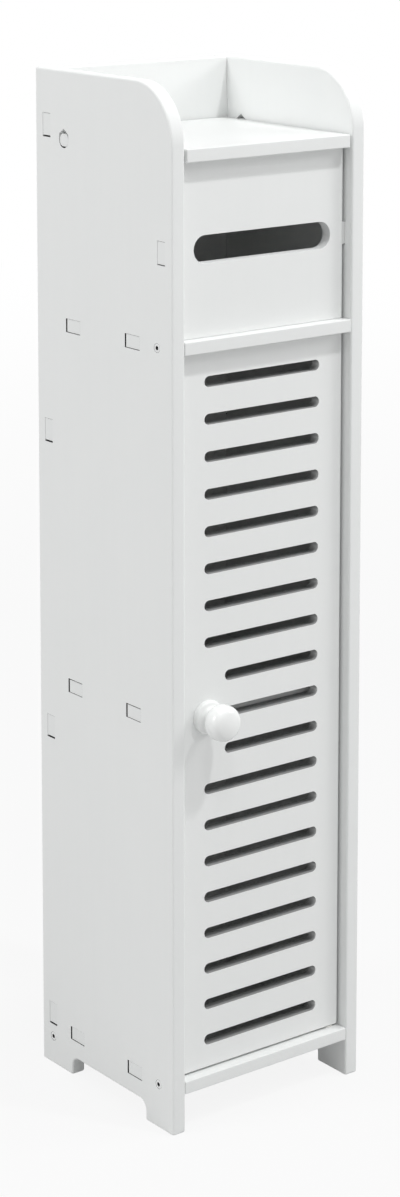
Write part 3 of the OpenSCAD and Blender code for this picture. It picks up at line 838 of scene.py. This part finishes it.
def weighted(p, board):
    """Gives the board's sharp edges their rounding, full on the outline and less on the
    slots, and marks painted shade on the slots' walls, darker on those that face down."""
    angle = p.add("GeometryNodeInputMeshEdgeAngle").value("Unsigned Angle")
    place = p.add("ShaderNodeSeparateXYZ", {}, {0: p.add("GeometryNodeInputPosition").out()})
    sideways = abs(place.value("X")) - p.given("width") / 2
    upwards = abs(place.value("Z")) - p.given("height") / 2
    outline = sideways.maths("MAXIMUM", sideways, upwards) > -WELD
    slot_share = p.given("slot_edge") / p.given("edge")
    weight = (angle > SHARP) * (outline + (1 - outline) * slot_share)
    board = p.add("GeometryNodeStoreNamedAttribute", {"data_type": "FLOAT", "domain": "EDGE"}, {
        "Geometry": board, "Name": "bevel_weight_edge", "Value": weight}).out()
    normal = p.add("ShaderNodeSeparateXYZ", {}, {0: p.add("GeometryNodeInputNormal").out()})
    # Painted shade on the slots' walls: the roof share where they face down, the sill share where
    # they face up.
    is_wall = (abs(normal.value("Y")) < WALL_LEAN) * (1 - outline)
    up = normal.value("Z")
    darkness = is_wall * (up.maths("MAXIMUM", up, 0.0) * p.given("sill")
                          - up.maths("MINIMUM", up, 0.0) * p.given("roof"))
    return p.add("GeometryNodeStoreNamedAttribute", {"data_type": "FLOAT", "domain": "FACE"}, {
        "Geometry": board, "Name": "core", "Value": darkness}).out()


def make_door():
    drills = door_drills()
    drills.transform(Matrix.Translation(-DOOR_MIDDLE))
    door = new_object(to_mesh(drills, "door_panel"), "door_panel_finished")
    slotted_board(FINISHES["white_board"]).lay_on(door)
    add_rounding(door, BOARD_EDGE)
    apply_modifiers(door)
    door.data.transform(Matrix.Translation(DOOR_MIDDLE))
    mark_cuts(door, Y)
    stand_for(door, "door_panel")


make_boards()
make_fittings()
make_knob()
make_all_screws()
make_door()

# ---- studio ----

VIEW_YAW = math.radians(37.42)      # how far the camera looks to the right of the depth
VIEW_TILT = math.radians(8.302)     # how far it looks down
CAMERA_PLACE = (-1.3075, -1.6997, 1.0011)
LENS = 85.40                        # mm on a 36 mm sensor
RISE = -0.32                        # shift, so that the uprights stay nearly parallel
MIDDLE = (0, 0, 0.45)               # where the lamps point
LAMPS = {                           # place, width in metres, watts
    "key": ((0.556, -1.191, 2.922), 0.14, 25),
    "second": ((-0.700, -1.212, 2.875), 0.3, 7),
    "left_fill": ((-2.900, 0.511, 2.150), 1.0, 34),
    "right_fill": ((2.250, -1.299, 1.950), 1.0, 26),
}
SKY_LIGHT = 0.53
FLOOR_WIDTH, FLOOR_PALE = 30, 0.58
WHITE_NEAR, WHITE_FAR = 0.88, 1.0   # how white the floor looks beside the cabinet and far off
FADE_START, FADE_END = 0.5, 4.0     # metres from the cabinet


def aimed(place, target):
    """A place and the turn that looks from it at a target."""
    turn = (Vector(target) - Vector(place)).to_track_quat("-Z", "Y")
    return Matrix.Translation(place) @ turn.to_matrix().to_4x4()


def add_camera():
    camera = new_object(bpy.data.cameras.new("camera"), "camera")
    forward = Vector((math.sin(VIEW_YAW) * math.cos(VIEW_TILT),
                      math.cos(VIEW_YAW) * math.cos(VIEW_TILT), -math.sin(VIEW_TILT)))
    camera.matrix_world = aimed(CAMERA_PLACE, Vector(CAMERA_PLACE) + forward)
    camera.data.lens = LENS
    camera.data.shift_y = RISE
    bpy.context.scene.camera = camera


def add_lamp(name, place, size, watts):
    lamp = new_object(bpy.data.lights.new(name, "AREA"), name)
    lamp.data.shape = "SQUARE"
    lamp.data.size = size
    lamp.data.energy = watts
    lamp.matrix_world = aimed(place, MIDDLE)


def seen_by_eye(nodes):
    """1 for rays from the camera, a mirror or a glass, 0 for light that is scattered."""
    path = nodes.add("ShaderNodeLightPath")
    eye = path.value("Is Camera Ray") + path.value("Is Glossy Ray")
    return eye + path.value("Is Transmission Ray")


def add_floor():
    """A wide pale floor that keeps a soft shadow and turns white far from the cabinet."""
    bpy.ops.mesh.primitive_plane_add(size=FLOOR_WIDTH)
    floor = bpy.context.object
    floor.name = "floor"
    f = Finish("floor")
    matt = f.add("ShaderNodeBsdfDiffuse", {}, {"Color": (FLOOR_PALE,) * 3 + (1,)}).out()
    glow = f.add("ShaderNodeEmission", {}, {"Color": (1, 1, 1, 1), "Strength": 1.0}).out()
    away = f.add("ShaderNodeVectorMath", {"operation": "LENGTH"}, {0: f.place}).value("Value")
    fade = f.add("ShaderNodeMapRange", {"interpolation_type": "SMOOTHSTEP"},
                 {"Value": away, "From Min": FADE_START, "From Max": FADE_END,
                  "To Min": WHITE_NEAR, "To Max": WHITE_FAR})
    share = seen_by_eye(f) * fade.value()
    mixed = f.add("ShaderNodeMixShader", {}, {0: share, 1: matt, 2: glow}).out()
    f.add("ShaderNodeOutputMaterial", {}, {"Surface": mixed})
    floor.data.materials.append(f.material)


def add_sky(light):
    """White to the eye, and a plain even light on the cabinet."""
    world = bpy.data.worlds.new("studio")
    world.use_nodes = True
    bpy.context.scene.world = world
    sky = Nodes(world.node_tree)
    lit = sky.add("ShaderNodeBackground", {}, {"Color": (1, 1, 1, 1), "Strength": light}).out()
    seen = sky.add("ShaderNodeBackground", {}, {"Color": (1, 1, 1, 1), "Strength": 1.0}).out()
    mixed = sky.add("ShaderNodeMixShader", {}, {0: seen_by_eye(sky), 1: lit, 2: seen}).out()
    sky.add("ShaderNodeOutputWorld", {}, {"Surface": mixed})


add_camera()
add_floor()
add_sky(SKY_LIGHT)
for lamp_name, (place, width, watts) in LAMPS.items():
    add_lamp(lamp_name, place, width, watts)
bpy.context.scene.view_settings.view_transform = "Standard"
